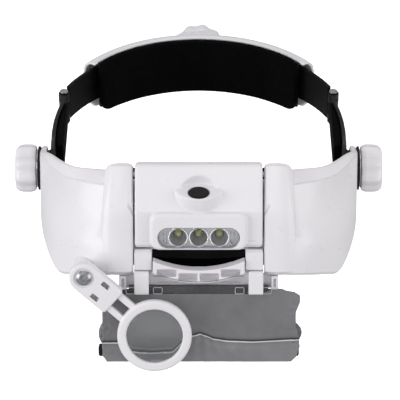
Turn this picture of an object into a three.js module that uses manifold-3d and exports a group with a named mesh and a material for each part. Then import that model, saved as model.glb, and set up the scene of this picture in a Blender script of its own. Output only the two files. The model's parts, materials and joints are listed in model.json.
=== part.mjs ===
// Head visor magnifier: a head-worn white LED visor with clip-in lens plates and a side loupe.
// Millimetres, +Z up, -Y is the wearer's forward direction. Left and right in the names are as seen from the
// front, so left is -X. The origin is the middle of the axis through the two side knobs.
import * as THREE from 'three';
import { mergeVertices } from 'three/addons/utils/BufferGeometryUtils.js';
import Module from 'manifold-3d';

const wasm = await Module();
wasm.setup();

// ---------------------------------------------------------------- driving dimensions
const GAP = 0.3;                  // running gap between neighbouring pieces
const VISOR_TILT = THREE.MathUtils.degToRad(16);   // front of the visor raised against the headband

const KNOB = { radius: 14.2, inner: 93.2, outer: 105.3, lobes: 8, lobeDepth: 0.9 };
const BOLT = { radius: 2.5, hole: 3.0, head: 6, headThick: 2, end: 101 };
const WING = { halfWidth: 90.7, wall: 2.8, endRadius: 13, dish: 2.4, footZ: -10.7, groove: 0.7 };
const ARM = { thick: 2.6, half: 10, boss: 13, bossX: 87.4, rear: 64, skin: 78 };
// Bowed plan of each temple arm's outer face, as [y, x].
const ARM_BOW = [[0, 85], [12, 85.5], [26, 85.7], [38, 85.1], [47, 84], [56, 82.4], [64, 81.5]];
const PIN = { x: 80.4, y: 69, radius: 1.5, hole: 1.85, barrel: 3.3, knuckle: 4 };
const BAND = { cy: 39.3, radius: 85.7, thick: 2, half: 10.8 };
const SHELL = { padIn: 77, padOut: 81, plateIn: 81.4, plateOut: 82.9, spread: 49, padSpread: 48.4,
  back: 93.8 };
const RACK = { tip: 3.3, root: 4.6, pitch: 2.513, peak: 0.44, before: 10, beyond: 5, start: 28 };
const PINION = { teeth: 10, tip: 4.15, root: 2.9 };
const DIAL = { radius: 16.4, front: 136, rear: 144.4, lobes: 10, lobeDepth: 0.7, phase: 0.12,
  podHalf: 13.2, podHeight: 30, podFront: 125.4, podBack: 135.6 };

const FRONT = { top: 27.5, topY: -86, creaseY: -98, creaseZ: 1, bottom: -33, backY: -82 };
const PILLAR = { inner: 35.6, outer: 51, flare: 2.2 };
const HOUSING = { half: 34.6, backY: -80.4, bottom: -17.2, wall: 2, corner: 2.8 };
const SHELF = 0.5;
const RECESS = { acrossRadius: 12, depthRadius: 10.5, back: -2.2, liner: 1.6 };
const HINGE = { y: -84.6, z: 20.6 };
const LAMP = { half: 26, frontY: -101.4, top: 3.2, bottom: -17.4 };
const CUP = { pitch: 11.2, radius: 5, z: -10.6 };
const WINDOW = { half: 22.2, height: 11.8, thick: 1.6 };
const BUTTON = { y: -96, z: 13.4, radius: 5.5, lean: THREE.MathUtils.degToRad(18), travel: 1 };
const FOREHEAD = { cy: 10, padIn: 76.6, padOut: 84.6, plateOut: 86.6, spread: 35 };
const RAIL = { half: 40, archHalf: 25, top: -29.5, rise: 5.4, bottom: -41.4, frontY: -99.5, backY: -92.5,
  pocketPitch: 11.6 };
const PLATE = { half: 51.5, top: -41.7, tongue: 38, tongueTop: -39.4, lugTop: -38.4, bottom: -81.8,
  thick: 2, frontY: -97.8, pitch: 2.5 };
const LOUPE = { x: -24, z: -63.8, outer: 20.3, inner: 15.4, frontY: -110, backY: -105 };
const PIVOT = { x: -62, z: -30.2 };
const HOLDER = { half: 8, length: 21.4, frontY: -110.5, backY: -103.5, prong: 4.5, prongStart: 13.8 };

// ---------------------------------------------------------------- finishes
const finish = (color, roughness, metalness = 0) =>
  new THREE.MeshStandardMaterial({ color, roughness, metalness });
const whitePlastic = finish(0xe8e4ea, 0.38);
const blackPlastic = finish(0x1b1b1d, 0.5);
const blackFoam = finish(0x141416, 0.95);
const blackRubber = finish(0x18181a, 0.8);
const brightSteel = finish(0xc9cacc, 0.25, 1);
const chrome = finish(0xd8dadd, 0.12, 1);
const clearPlastic = finish(0xdfe6ea, 0.08);
const greyFilm = finish(0x84868b, 0.35);
const boardGreen = finish(0x1f5a37, 0.6);
const ledYellow = finish(0xd8d86a, 0.3);
const cellSkin = finish(0x4a5560, 0.4);

// ---------------------------------------------------------------- solids and joining
function solidOf(geometry) {
  const bare = geometry.clone();
  for (const name of Object.keys(bare.attributes)) {
    if (name !== 'position') bare.deleteAttribute(name);
  }
  const merged = mergeVertices(bare, 1e-4);
  return new wasm.Manifold(new wasm.Mesh({
    numProp: 3,
    vertProperties: new Float32Array(merged.attributes.position.array),
    triVerts: new Uint32Array(merged.index.array),
  }));
}

function geometryOf(solid) {
  const mesh = solid.getMesh();
  const geometry = new THREE.BufferGeometry();
  geometry.setAttribute('position', new THREE.BufferAttribute(new Float32Array(mesh.vertProperties), 3));
  geometry.setIndex(new THREE.BufferAttribute(new Uint32Array(mesh.triVerts), 1));
  geometry.computeVertexNormals();
  return geometry;
}

function join(first, ...others) {
  return geometryOf(others.reduce((sum, next) => sum.add(solidOf(next)), solidOf(first)));
}

function cut(base, ...cutters) {
  return geometryOf(cutters.reduce((rest, next) => rest.subtract(solidOf(next)), solidOf(base)));
}

// A closed body through equal-length rings of points, with a flat cap on each end ring.
function loft(rings) {
  const count = rings[0].length;
  const position = rings.flat().flatMap((p) => [p.x, p.y, p.z]);
  const index = [];
  for (let r = 0; r < rings.length - 1; r += 1) {
    for (let k = 0; k < count; k += 1) {
      const a = r * count + k;
      const b = r * count + (k + 1) % count;
      index.push(a, b, b + count, a, b + count, a + count);
    }
  }
  const cap = (ring, offset, turned) => {
    const { flat } = flatten(ring);
    for (const [i, j, k] of THREE.ShapeUtils.triangulateShape(flat, [])) {
      index.push(offset + i, offset + (turned ? k : j), offset + (turned ? j : k));
    }
  };
  const ccw = flatten(rings[0]).ccw;
  cap(rings[0], 0, ccw);
  cap(rings[rings.length - 1], (rings.length - 1) * count, !ccw);
  const geometry = new THREE.BufferGeometry();
  geometry.setAttribute('position', new THREE.Float32BufferAttribute(position, 3));
  geometry.setIndex(index);
  return outward(geometry);
}

// Turns every face over when the body is inside out.
function outward(geometry) {
  if (signedVolume(geometry) < 0) {
    const index = Array.from(geometry.index.array);
    for (let t = 0; t < index.length; t += 3) [index[t], index[t + 1]] = [index[t + 1], index[t]];
    geometry.setIndex(index);
  }
  geometry.computeVertexNormals();
  return geometry;
}

// A ring of points in its own plane, for triangulation.
function flatten(ring) {
  const middle = new THREE.Vector3();
  for (const p of ring) middle.addScaledVector(p, 1 / ring.length);
  const normal = new THREE.Vector3();
  for (let k = 0; k < ring.length; k += 1) {
    const a = ring[k].clone().sub(middle);
    const b = ring[(k + 1) % ring.length].clone().sub(middle);
    normal.add(a.cross(b));
  }
  normal.normalize();
  const u = ring[0].clone().sub(middle);
  u.addScaledVector(normal, -u.dot(normal)).normalize();
  const v = normal.clone().cross(u);
  const flat = ring.map((p) => {
    const d = p.clone().sub(middle);
    return new THREE.Vector2(d.dot(u), d.dot(v));
  });
  return { flat, ccw: !THREE.ShapeUtils.isClockWise(flat) };
}

function signedVolume(geometry) {
  const p = geometry.attributes.position;
  const index = geometry.index.array;
  const [a, b, c] = [new THREE.Vector3(), new THREE.Vector3(), new THREE.Vector3()];
  let volume = 0;
  for (let t = 0; t < index.length; t += 3) {
    a.fromBufferAttribute(p, index[t]);
    b.fromBufferAttribute(p, index[t + 1]);
    c.fromBufferAttribute(p, index[t + 2]);
    volume += a.dot(b.clone().cross(c)) / 6;
  }
  return volume;
}

// ---------------------------------------------------------------- basic forms
const polygon = (points) => new THREE.Shape(points.map(([u, v]) => new THREE.Vector2(u, v)));

function roundedRect(width, height, radius, cu = 0, cv = 0) {
  const shape = new THREE.Shape();
  const [w, h] = [width / 2, height / 2];
  shape.absarc(cu + w - radius, cv + h - radius, radius, 0, Math.PI / 2);
  shape.absarc(cu - w + radius, cv + h - radius, radius, Math.PI / 2, Math.PI);
  shape.absarc(cu - w + radius, cv - h + radius, radius, Math.PI, Math.PI * 1.5);
  shape.absarc(cu + w - radius, cv - h + radius, radius, Math.PI * 1.5, Math.PI * 2);
  return shape;
}

// Extruded between two stations along the third axis; the bevel stays inside the outline.
function slab(shape, from, to, bevel = 0, curveSegments = 5, bevelSegments = 1) {
  const geometry = new THREE.ExtrudeGeometry(shape, {
    depth: to - from - 2 * bevel,
    bevelEnabled: bevel > 0,
    bevelThickness: bevel,
    bevelSize: bevel,
    bevelOffset: -bevel,
    bevelSegments,
    curveSegments,
  });
  return geometry.translate(0, 0, from + bevel);
}

const axes = (x, y, z) => new THREE.Matrix4().makeBasis(
  new THREE.Vector3(...x), new THREE.Vector3(...y), new THREE.Vector3(...z));
const ALONG_X = axes([0, 1, 0], [0, 0, 1], [1, 0, 0]);       // (u, v, w) -> (Y, Z, X)
const ALONG_Y = axes([-1, 0, 0], [0, 0, 1], [0, 1, 0]);      // (u, v, w) -> (-X, Z, Y)
const MIRROR_X = new THREE.Matrix4().makeScale(-1, 1, 1);

const profileAlongX = (points, from, to, bevel = 0) =>
  slab(polygon(points), from, to, bevel).applyMatrix4(ALONG_X);
const shapeAlongY = (shape, from, to, bevel = 0, curveSegments = 5) =>
  slab(shape, from, to, bevel, curveSegments).applyMatrix4(ALONG_Y);
const block = (x0, x1, y0, y1, z0, z1) =>
  new THREE.BoxGeometry(x1 - x0, y1 - y0, z1 - z0).translate((x0 + x1) / 2, (y0 + y1) / 2, (z0 + z1) / 2);

function rod(radius, from, to, axis, a = 0, b = 0, sides = 24) {
  const geometry = new THREE.CylinderGeometry(radius, radius, to - from, sides);
  const middle = (from + to) / 2;
  if (axis === 'x') return geometry.rotateZ(Math.PI / 2).translate(middle, a, b);
  if (axis === 'y') return geometry.translate(a, middle, b);
  return geometry.rotateX(Math.PI / 2).translate(a, b, middle);
}

// Turned about an axis parallel to Y: profile points are (radius, y).
const turnedY = (points, x, z, sides = 32) =>
  outward(new THREE.LatheGeometry(points.map(([r, y]) => new THREE.Vector2(r, y)), sides)).translate(x, 0, z);
// Turned about the X axis: profile points are (radius, x).
const turnedX = (points, sides = 32) =>
  outward(new THREE.LatheGeometry(points.map(([r, x]) => new THREE.Vector2(r, -x)), sides)).rotateZ(Math.PI / 2);

function mirrored(geometry) {
  const twin = geometry.clone().applyMatrix4(MIRROR_X);
  if (!twin.index) twin.setIndex([...Array(twin.attributes.position.count).keys()]);
  return outward(twin);
}

// A band bent about a vertical axis: section(angle) gives [radius, z] pairs, angles from +Y towards +X.
function arcLoft(section, from, to, steps, cy) {
  const rings = [];
  for (let k = 0; k <= steps; k += 1) {
    const angle = from + (to - from) * k / steps;
    rings.push(section(angle).map(([r, z]) =>
      new THREE.Vector3(r * Math.sin(angle), cy + r * Math.cos(angle), z)));
  }
  return loft(rings);
}

function lobed(radius, depth, lobes, scale, perLobe = 5, phase = 0) {
  const count = lobes * perLobe;
  return Array.from({ length: count }, (_, k) => {
    const angle = 2 * Math.PI * k / count;
    const r = (radius - depth + depth * Math.cos(lobes * angle)) * scale;
    return [r * Math.cos(angle + phase), r * Math.sin(angle + phase)];
  });
}

// ---------------------------------------------------------------- scene graph
const magnifier = new THREE.Group();
const visor = new THREE.Group();
visor.rotation.x = -VISOR_TILT;
magnifier.add(visor);

function add(name, geometry, material, parent = magnifier) {
  const mesh = new THREE.Mesh(geometry, material);
  mesh.name = name;
  parent.add(mesh);
  return mesh;
}

function addPair(name, rightGeometry, material, parent = magnifier) {
  add(`right_${name}`, rightGeometry, material, parent);
  add(`left_${name}`, mirrored(rightGeometry), material, parent);
}

// ---------------------------------------------------------------- temple arms and hinges
function armOuter(y) {
  const k = Math.max(ARM_BOW.findIndex(([at]) => at >= y), 1);
  const [[from, low], [to, high]] = [ARM_BOW[k - 1], ARM_BOW[k]];
  return low + (high - low) * Math.max(y - from, 0) / (to - from);
}

function armHalfHeight(y) {
  if (y <= 0) return Math.sqrt(ARM.boss ** 2 - y ** 2);
  const blend = Math.min(y / 22, 1);
  return ARM.boss + (ARM.half - ARM.boss) * blend * blend * (3 - 2 * blend);
}

function templeArm() {
  const stations = [-12.6, -11, -8, -4, 0, 5, 12, 18, 26, 38, 47, 56, ARM.rear];
  const bar = loft(stations.map((y) => {
    const [outer, h] = [armOuter(y), armHalfHeight(y)];
    return [[outer - 0.6, h], [outer, h - 0.8], [outer, 0.8 - h], [outer - 0.6, -h],
      [outer - ARM.thick, -h], [outer - ARM.thick, h]].map(([x, z]) => new THREE.Vector3(x, y, z));
  }));
  const leaf = block(PIN.x - 1.3, PIN.x + 2, 60, PIN.y, -ARM.half, ARM.half);
  const barrel = rod(PIN.barrel, -ARM.half, ARM.half, 'z', PIN.x, PIN.y);
  const boss = rod(10.5, 83.5, ARM.bossX, 'x', 0, 0, 40);
  return cut(join(bar, boss, leaf, barrel),
    rod(PIN.barrel + 1.2, -PIN.knuckle, PIN.knuckle, 'z', PIN.x, PIN.y),
    block(PIN.x - 8, PIN.x + 8, PIN.y, PIN.y + 8, -PIN.knuckle, PIN.knuckle),
    rod(PIN.hole, -20, 20, 'z', PIN.x, PIN.y),
    rod(BOLT.hole, 70, 100, 'x'));
}

function armLining() {
  const rings = [9, 18, 26, 38, 47, 56, 61].map((y) => {
    const x = armOuter(y) - ARM.thick - GAP;
    const h = ARM.half - 0.8;
    const skin = Math.min(ARM.skin, x - 0.9);
    return [[x, h], [x, -h], [skin + 0.6, -h], [skin, 1 - h], [skin, h - 1], [skin + 0.6, h]].map((p) =>
      new THREE.Vector3(p[0], y, p[1]));
  });
  return loft(rings);
}

function pivotBolt() {
  const headX = armOuter(BOLT.head) - ARM.thick - GAP;
  return turnedX([[0, headX - BOLT.headThick], [BOLT.head - 1, headX - BOLT.headThick],
    [BOLT.head, headX - BOLT.headThick + 0.8], [BOLT.head, headX], [BOLT.radius, headX],
    [BOLT.radius, BOLT.end], [0, BOLT.end]], 24);
}

function hingePin() {
  const top = ARM.half + 1.2;
  return new THREE.LatheGeometry([[0, -top], [PIN.barrel - 0.8, -top], [PIN.barrel - 0.8, -ARM.half - GAP],
    [PIN.radius, -ARM.half - GAP], [PIN.radius, ARM.half + GAP], [PIN.barrel - 0.8, ARM.half + GAP],
    [PIN.barrel - 0.8, top], [0, top]].map(([r, z]) => new THREE.Vector2(r, z)), 20)
    .rotateX(Math.PI / 2).translate(PIN.x, PIN.y, 0);
}

addPair('temple_arm', templeArm(), blackPlastic);
addPair('arm_lining', armLining(), blackFoam);
addPair('pivot_bolt', pivotBolt(), brightSteel);
addPair('hinge_pin', hingePin(), brightSteel);

// ---------------------------------------------------------------- side knobs
function sideKnob() {
  const depth = KNOB.outer - KNOB.inner;
  const steps = [[0, 0.9], [0.06, 0.95], [0.22, 1], [0.62, 1], [0.8, 0.97], [0.93, 0.9], [1, 0.8]];
  const body = loft(steps.map(([t, scale]) =>
    lobed(KNOB.radius, KNOB.lobeDepth, KNOB.lobes, scale).map(([y, z]) =>
      new THREE.Vector3(KNOB.inner + depth * t, y, z))));
  return cut(body, rod(BOLT.hole, 80, BOLT.end + GAP, 'x'));
}

const ringX = (outer, inner, from, to) =>
  turnedX([[inner, from], [outer, from], [outer, to], [inner, to], [inner, from]], 36);

addPair('side_knob', sideKnob(), whitePlastic);
addPair('knob_washer', ringX(10.8, BOLT.hole, 92.5, 92.9), brightSteel);
addPair('friction_disc', ringX(12.6, BOLT.hole, 91, 92.2), blackRubber);

// ---------------------------------------------------------------- adjustable straps with racks
// The right strap carries its rack below its tongue; the left one is the same part turned over.
function strap() {
  const pinAngle = Math.PI / 2 - Math.atan2(PIN.y - BAND.cy, PIN.x);
  const at = (angle, low, high) => {
    const [inner, outer] = [BAND.radius - BAND.thick / 2, BAND.radius + BAND.thick / 2];
    return [[inner, low], [outer, low], [outer, high], [inner, high]].map(([r, z]) =>
      new THREE.Vector3(r * Math.sin(angle), BAND.cy + r * Math.cos(angle), z));
  };
  const rings = [];
  const fullFrom = pinAngle - 6 / BAND.radius;
  const fullTo = RACK.start / BAND.radius;
  const steps = 14;
  for (let k = 0; k <= steps; k += 1) {
    rings.push(at(fullFrom + (fullTo - fullFrom) * k / steps, -BAND.half, BAND.half));
  }
  const firstTooth = (RACK.before + RACK.peak) * RACK.pitch;
  const teeth = RACK.before + RACK.beyond;
  rings.push(at(firstTooth / BAND.radius, RACK.root, BAND.half));
  for (let k = 0; k < teeth; k += 1) {
    const s = firstTooth - k * RACK.pitch;
    for (const [share, low] of [[RACK.peak - 0.32, RACK.root], [RACK.peak - 0.08, RACK.tip],
      [RACK.peak + 0.08, RACK.tip], [RACK.peak + 0.32, RACK.root]]) {
      rings.push(at((s - share * RACK.pitch) / BAND.radius, low, BAND.half));
    }
  }
  const knuckle = PIN.knuckle - GAP;
  const neck = block(PIN.x - 1.6, PIN.x + 1, PIN.y, PIN.y + 8, -knuckle, knuckle);
  const barrel = rod(PIN.barrel - 0.2, -knuckle, knuckle, 'z', PIN.x, PIN.y);
  return cut(join(loft(rings), neck, barrel), rod(PIN.hole, -20, 20, 'z', PIN.x, PIN.y));
}

const rightStrap = strap();
add('right_strap', rightStrap, blackPlastic);
add('left_strap', rightStrap.clone().rotateY(Math.PI), blackPlastic);

// ---------------------------------------------------------------- rear shell, pad and ratchet dial
const shellEdge = THREE.MathUtils.degToRad(SHELL.spread);
const padEdge = THREE.MathUtils.degToRad(SHELL.padSpread);
const SHELL_OUTLINE = [[83.4, 17.2], [86, 17.6], [89.4, 16.6], [92.2, 13.4], [93.6, 7], [SHELL.back, 0]];

function rearShell() {
  const taper = (angle) => 1 - 0.14 * Math.abs(angle / shellEdge) ** 3;
  const symmetric = (half) => [...half, ...half.filter(([, z]) => z > 0).reverse().map(([r, z]) => [r, -z])];
  const bent = (half, reach, steps) => arcLoft((angle) =>
    symmetric(half).map(([r, z]) => [r, z * taper(angle)]), -reach, reach, steps, BAND.cy);
  const outer = bent(SHELL_OUTLINE, shellEdge, 22);
  const channel = bent([[82, 15.9], [86, 16], [88.2, 15], [90.4, 12.4], [91.7, 7], [91.9, 0]],
    shellEdge + 0.1, 24);
  const pod = shapeAlongY(roundedRect(2 * DIAL.podHalf, DIAL.podHeight, 4), DIAL.podFront, DIAL.podBack, 0.8);
  return cut(join(outer, pod), channel, rod(3, 120, 140, 'y', 0, 0));
}

function padPlate() {
  const section = () => [[SHELL.plateIn, -15.4], [SHELL.plateOut, -15.4], [SHELL.plateOut, 15.4],
    [SHELL.plateIn, 15.4]];
  return cut(arcLoft(section, -shellEdge * 0.96, shellEdge * 0.96, 24, BAND.cy), rod(2.9, 110, 140, 'y', 0, 0));
}

function rearPad() {
  const section = (angle) => {
    const ease = Math.min((padEdge - Math.abs(angle)) / 0.12, 1);
    const h = 14.5 + 3.5 * ease;
    const skin = SHELL.padIn + 0.9 * (1 - ease);
    return [[SHELL.padOut, -h], [SHELL.padOut, h], [skin + 1.2, h], [skin, h - 1.6], [skin, 1.6 - h],
      [skin + 1.2, -h]];
  };
  return arcLoft(section, -padEdge, padEdge, 30, BAND.cy);
}

function rearDial() {
  const steps = [[0, 0.93], [0.12, 1], [0.7, 1], [0.9, 0.95], [1, 0.86]];
  const body = loft(steps.map(([t, scale]) =>
    lobed(DIAL.radius, DIAL.lobeDepth, DIAL.lobes, scale, 6, DIAL.phase).map(([x, z]) =>
      new THREE.Vector3(x, DIAL.front + (DIAL.rear - DIAL.front) * t, z))));
  return cut(body, rod(2.6, 130, 140, 'y', 0, 0));
}

function dialPinion() {
  const outline = [];
  for (let k = 0; k < PINION.teeth; k += 1) {
    for (const [share, r] of [[-0.3, PINION.root], [-0.14, PINION.tip], [0.14, PINION.tip], [0.3, PINION.root]]) {
      const angle = 2 * Math.PI * (k + share) / PINION.teeth;
      outline.push([r * Math.cos(angle), r * Math.sin(angle)]);
    }
  }
  const gear = shapeAlongY(polygon(outline), 123.3, 128.7);
  return cut(join(gear, rod(2.3, 128, 138.6, 'y', 0, 0, 20)), rod(1.25, 120, 136, 'y', 0, 0, 16));
}

function dialScrew() {
  return turnedY([[0, 121.2], [2.3, 121.2], [2.3, 123], [0.95, 123], [0.95, 134], [0, 134]], 0, 0, 16);
}

add('rear_shell', rearShell(), whitePlastic);
add('pad_plate', padPlate(), blackPlastic);
add('rear_pad', rearPad(), blackFoam);
add('rear_dial', rearDial(), whitePlastic);
add('dial_pinion', dialPinion(), blackPlastic);
add('dial_screw', dialScrew(), brightSteel);

// ---------------------------------------------------------------- visor wings with their pillars
// Plan curve of the outer face, from the temple end to the pillar; heights are functions of y.
const wingPlan = new THREE.SplineCurve([[90.7, 0], [90.4, -16], [88.9, -32], [84.6, -49], [77.6, -66],
  [68, -80], [55.5, -90.4], [47, -94.2]].map(([x, y]) => new THREE.Vector2(x, y)));
const smooth = (t) => {
  const s = THREE.MathUtils.clamp(t, 0, 1);
  return s * s * (3 - 2 * s);
};
const wingTop = (y) => WING.endRadius + 8.2 * smooth(-y / 52);
const wingBevel = (y) => 1.6 + 3.8 * smooth((-y - 30) / 60);

function wingBottom(y) {
  const slope = -WING.endRadius + 0.44 * y;
  const corner = -41.2 + 0.34 * Math.max(-y - 70, 0);
  return Math.max(slope, corner);
}

// The face hollows between its rim band and its foot, and the foot swells out to meet the pillar.
function faceInset(y, z, band) {
  const near = smooth((-y - 25) / 45);
  const last = smooth((-y - 72) / 18);
  const depth = THREE.MathUtils.clamp((band - z) / (band - WING.footZ), 0, 1);
  const foot = smooth((WING.footZ + 2 - z) / 6) * (1.2 * near + 2.4 * last);
  return near * WING.dish * Math.sin(Math.PI * depth) - foot + 0.42 * Math.max(z - 2, 0) * last;
}

function wingRing(x, y, nx, ny, top, bottom, bevel, wall) {
  const band = top - bevel;
  const levels = [0.14, 0.3, 0.42, 0.55, 0.7, 0.85]
    .map((share) => bottom + 1.6 + (band - bottom - 2.6) * share);
  const face = (z) => faceInset(y, z, band - 1);
  const section = [[1.1, bottom], [0, bottom + 1.6], ...levels.map((z) => [0, z]), [0, band - 1],
    [WING.groove, band - 0.5], [0, band], [bevel * 0.7, top - 0.5], [bevel * 0.7 + 0.9, top],
    [bevel * 0.7 + wall - 0.5, top], [bevel * 0.7 + wall, top - 0.8], [wall + 0.2, band - 1.6],
    ...levels.toReversed().map((z) => [wall, z]), [wall, bottom + 1.2], [wall - 0.4, bottom]];
  return section.map(([inset, z]) => {
    const depth = inset + face(z);
    return new THREE.Vector3(x - nx * depth, y - ny * depth, z);
  });
}

function wing() {
  const rings = [];
  const tab = [12.2, 10.6, 8, 4.6];
  for (const y of tab) {
    const h = Math.sqrt(WING.endRadius ** 2 - y ** 2);
    rings.push(wingRing(WING.halfWidth, y, 1, 0, h, -h, 1.2, WING.wall));
  }
  const steps = 24;
  for (let k = 0; k <= steps; k += 1) {
    const p = wingPlan.getPointAt(k / steps);
    const along = wingPlan.getTangentAt(k / steps);
    rings.push(wingRing(p.x, p.y, -along.y, along.x, wingTop(p.y), wingBottom(p.y), wingBevel(p.y), WING.wall));
  }
  return loft(rings);
}

// Side outline of the front: leans back above the crease and stands upright below it.
const frontOutline = (grow, bottom = FRONT.bottom) => [
  [FRONT.backY, FRONT.top - 1.8], [FRONT.topY + 1.6 - 0.5 * Math.min(grow, 0), FRONT.top - 0.4],
  [FRONT.topY - 1 - grow, FRONT.top - 1.4],
  [FRONT.creaseY + 1 - grow, FRONT.creaseZ + 3], [FRONT.creaseY - grow, FRONT.creaseZ - 2],
  [FRONT.creaseY - grow, bottom + 2.4], [FRONT.creaseY + 2.4 - grow, bottom], [FRONT.creaseY + 7, bottom],
  [FRONT.creaseY + 7, FRONT.creaseZ], [FRONT.backY, FRONT.creaseZ + 6]];

// Across the pillar, as [share of its width, swell of the face, drop of the top].
const PILLAR_STATIONS = [[0, -1.6, 2.4], [0.05, -0.4, 0.9], [0.16, 0.2, 0.1], [0.5, 0.6, 0], [0.72, 0.2, 0.3],
  [0.86, -0.8, 1.2], [0.95, -2.1, 2.8], [1, -3.6, 4.6]];

function pillar() {
  const body = loft(PILLAR_STATIONS.map(([share, swell, drop]) => frontOutline(swell).map(([y, z]) => {
    const x = PILLAR.inner + share * (PILLAR.outer - PILLAR.inner + PILLAR.flare * smooth((FRONT.top - z) / 40));
    return new THREE.Vector3(x, y, z > FRONT.creaseZ + 8 ? z - drop : z);
  })));
  const wedge = [[1, 7.8], [1, -1], [-3.2, 6], [-2.6, 7.2]].map(([u, z]) => [u - PILLAR.inner, z]);
  return cut(body, shapeAlongY(polygon(wedge), -106, -95.4));
}

const pivotSocket = rod(1.85, 30, 38.3, 'x', HINGE.y, HINGE.z, 20);

function visorSide() {
  const boltHole = rod(BOLT.hole, 80, 96, 'x');
  return cut(join(wing(), pillar()), boltHole, pivotSocket);
}

const loupePost = turnedY([[0, -84], [6.4, -84], [4.8, -94], [4.6, -103.2], [0, -103.2]], PIVOT.x, PIVOT.z, 28);
const postHole = rod(2.1, -104, -95, 'y', PIVOT.x, PIVOT.z, 20);
const rightSide = visorSide();
add('right_visor_wing', rightSide, whitePlastic, visor);
add('left_visor_wing', cut(join(mirrored(rightSide), loupePost), postHole), whitePlastic, visor);

// Cross-member that carries both wings, with the forehead plate and pad behind it.
function crossMember() {
  const web = block(-48, 48, -80.1, -77.6, -23.6, 16);
  const feet = [-1, 1].map((side) => block(side * 41 - 4, side * 41 + 4, -88, -79, -18, -6));
  return join(web, ...feet);
}

const foreheadEdge = THREE.MathUtils.degToRad(FOREHEAD.spread);

// The forehead parts bend about a vertical axis behind them, so they face -Y.
function foreheadArc(section, edge, steps) {
  return arcLoft((angle) => section(angle).map(([r, z]) => [-r, z]), -edge, edge, steps, FOREHEAD.cy);
}

function foreheadPlate() {
  return foreheadArc(() => [[FOREHEAD.padOut + GAP, -30], [FOREHEAD.plateOut, -30], [FOREHEAD.plateOut, 16],
    [FOREHEAD.padOut + GAP, 16]], foreheadEdge * 0.94, 18);
}

function foreheadPad() {
  return foreheadArc((angle) => {
    const ease = Math.min((foreheadEdge - Math.abs(angle)) / 0.1, 1);
    const [low, high] = [-38 + 3 * (1 - ease), 19 - 3 * (1 - ease)];
    const skin = FOREHEAD.padIn + 2 * (1 - ease);
    return [[FOREHEAD.padOut, low], [FOREHEAD.padOut, high], [skin + 2, high], [skin, high - 2.4],
      [skin, low + 2.4], [skin + 2, low]];
  }, foreheadEdge, 24);
}

add('cross_member', crossMember(), whitePlastic, visor);
add('forehead_plate', foreheadPlate(), blackPlastic, visor);
add('forehead_pad', foreheadPad(), blackFoam, visor);

// ---------------------------------------------------------------- lamp unit, hinged between the pillars
// A leaning local frame at the button: local z is the button's outward direction.
const buttonFrame = new THREE.Matrix4().makeRotationX(BUTTON.lean).setPosition(0, BUTTON.y, BUTTON.z);
const atButton = (geometry) => geometry.applyMatrix4(buttonFrame);
const housingOutline = (inset) => [[HOUSING.backY, FRONT.top - 2], [HOUSING.backY - 1.6, FRONT.top - 0.4],
  [FRONT.topY - 0.6, FRONT.top - 0.6],
  [FRONT.topY - 2.2 + inset, FRONT.top - 1.6 - inset], [FRONT.creaseY + inset, FRONT.creaseZ + 2.4],
  [FRONT.creaseY + inset, HOUSING.bottom + 2 + inset], [FRONT.creaseY + 2 + inset, HOUSING.bottom + inset],
  [HOUSING.backY, HOUSING.bottom + inset]];

// Upright oval recess above the button's shelf, thickened by grow for the wall behind it.
const scoop = (grow) => rod(1, SHELF - grow, 16, 'z', 0, 0, 36)
  .scale(RECESS.acrossRadius + grow, RECESS.depthRadius + grow, 1).translate(0, RECESS.back, 0);

// What is cut away to round an upper corner of the housing, seen from the front.
function housingCorner(side) {
  const { half, corner } = HOUSING;
  const arc = [0, 1, 2, 3, 4, 5].map((k) => {
    const a = Math.PI * k / 10;
    return [side * (half - corner + corner * Math.cos(a)), FRONT.top - corner + corner * Math.sin(a)];
  });
  const tip = [[side * (half - corner), FRONT.top + 3], [side * (half + 2), FRONT.top + 3],
    [side * (half + 2), FRONT.top - corner]];
  return shapeAlongY(polygon([...arc, ...tip]), -112, -70);
}

function lampHousing() {
  const { half, wall, backY, bottom } = HOUSING;
  const outer = profileAlongX(housingOutline(0), -half, half, 0.8);
  const hollow = profileAlongX([[backY + 1, FRONT.top - wall], [FRONT.topY, FRONT.top - wall],
    [FRONT.creaseY + 3, FRONT.creaseZ + 2.6], [FRONT.creaseY + 3, bottom + wall], [backY + 1, bottom + wall]],
    wall - half, half - wall);
  const lampBox = shapeAlongY(roundedRect(2 * LAMP.half, LAMP.top - LAMP.bottom, 4.5, 0,
    (LAMP.top + LAMP.bottom) / 2), LAMP.frontY, -90, 1.2);
  const dome = cut(new THREE.SphereGeometry(1, 22, 14).scale(13, 11.4, 16).translate(0, 4.2, -2.6),
    block(-20, 20, -20, 20, SHELF, 20));
  const underShelf = cut(atButton(dome), hollow, block(-20, 20, -88, -60, -30, 40));
  const recessLiner = solidOf(atButton(scoop(RECESS.liner))).intersect(solidOf(outer));
  const floor = profileAlongX([[backY - 2.2, FRONT.creaseZ + 3.4], [-96.5, FRONT.creaseZ + 3.4],
    [-96.5, FRONT.creaseZ + 4.8], [backY - 2.2, FRONT.creaseZ + 4.8]], -half + 1, half - 1);
  const lampWell = shapeAlongY(roundedRect(2 * WINDOW.half, WINDOW.height, WINDOW.height / 2 - 0.05, 0, CUP.z),
    -110, -88, 0, 8);
  const recess = atButton(scoop(0));
  const well = atButton(rod(BUTTON.radius + 0.35, -2.4, 9, 'z', 0, 0, 28));
  const stemHole = atButton(rod(2.2, -5, 0, 'z', 0, 0, 16));
  const switchPocket = atButton(block(-7.6, 7.6, -2.2, 9, -7.3, -4.9));
  const notches = [-1, 1].map((side) =>
    block(side * 28.4 - 2.2, side * 28.4 + 2.2, -99, -97.2, bottom + 3.2, bottom + 4));
  return cut(join(cut(outer, hollow), floor, lampBox, underShelf, geometryOf(recessLiner)), lampWell, recess,
    well, stemHole, switchPocket, rod(1.85, -40, 40, 'x', HINGE.y, HINGE.z, 20), ...notches,
    housingCorner(-1), housingCorner(1));
}

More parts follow.
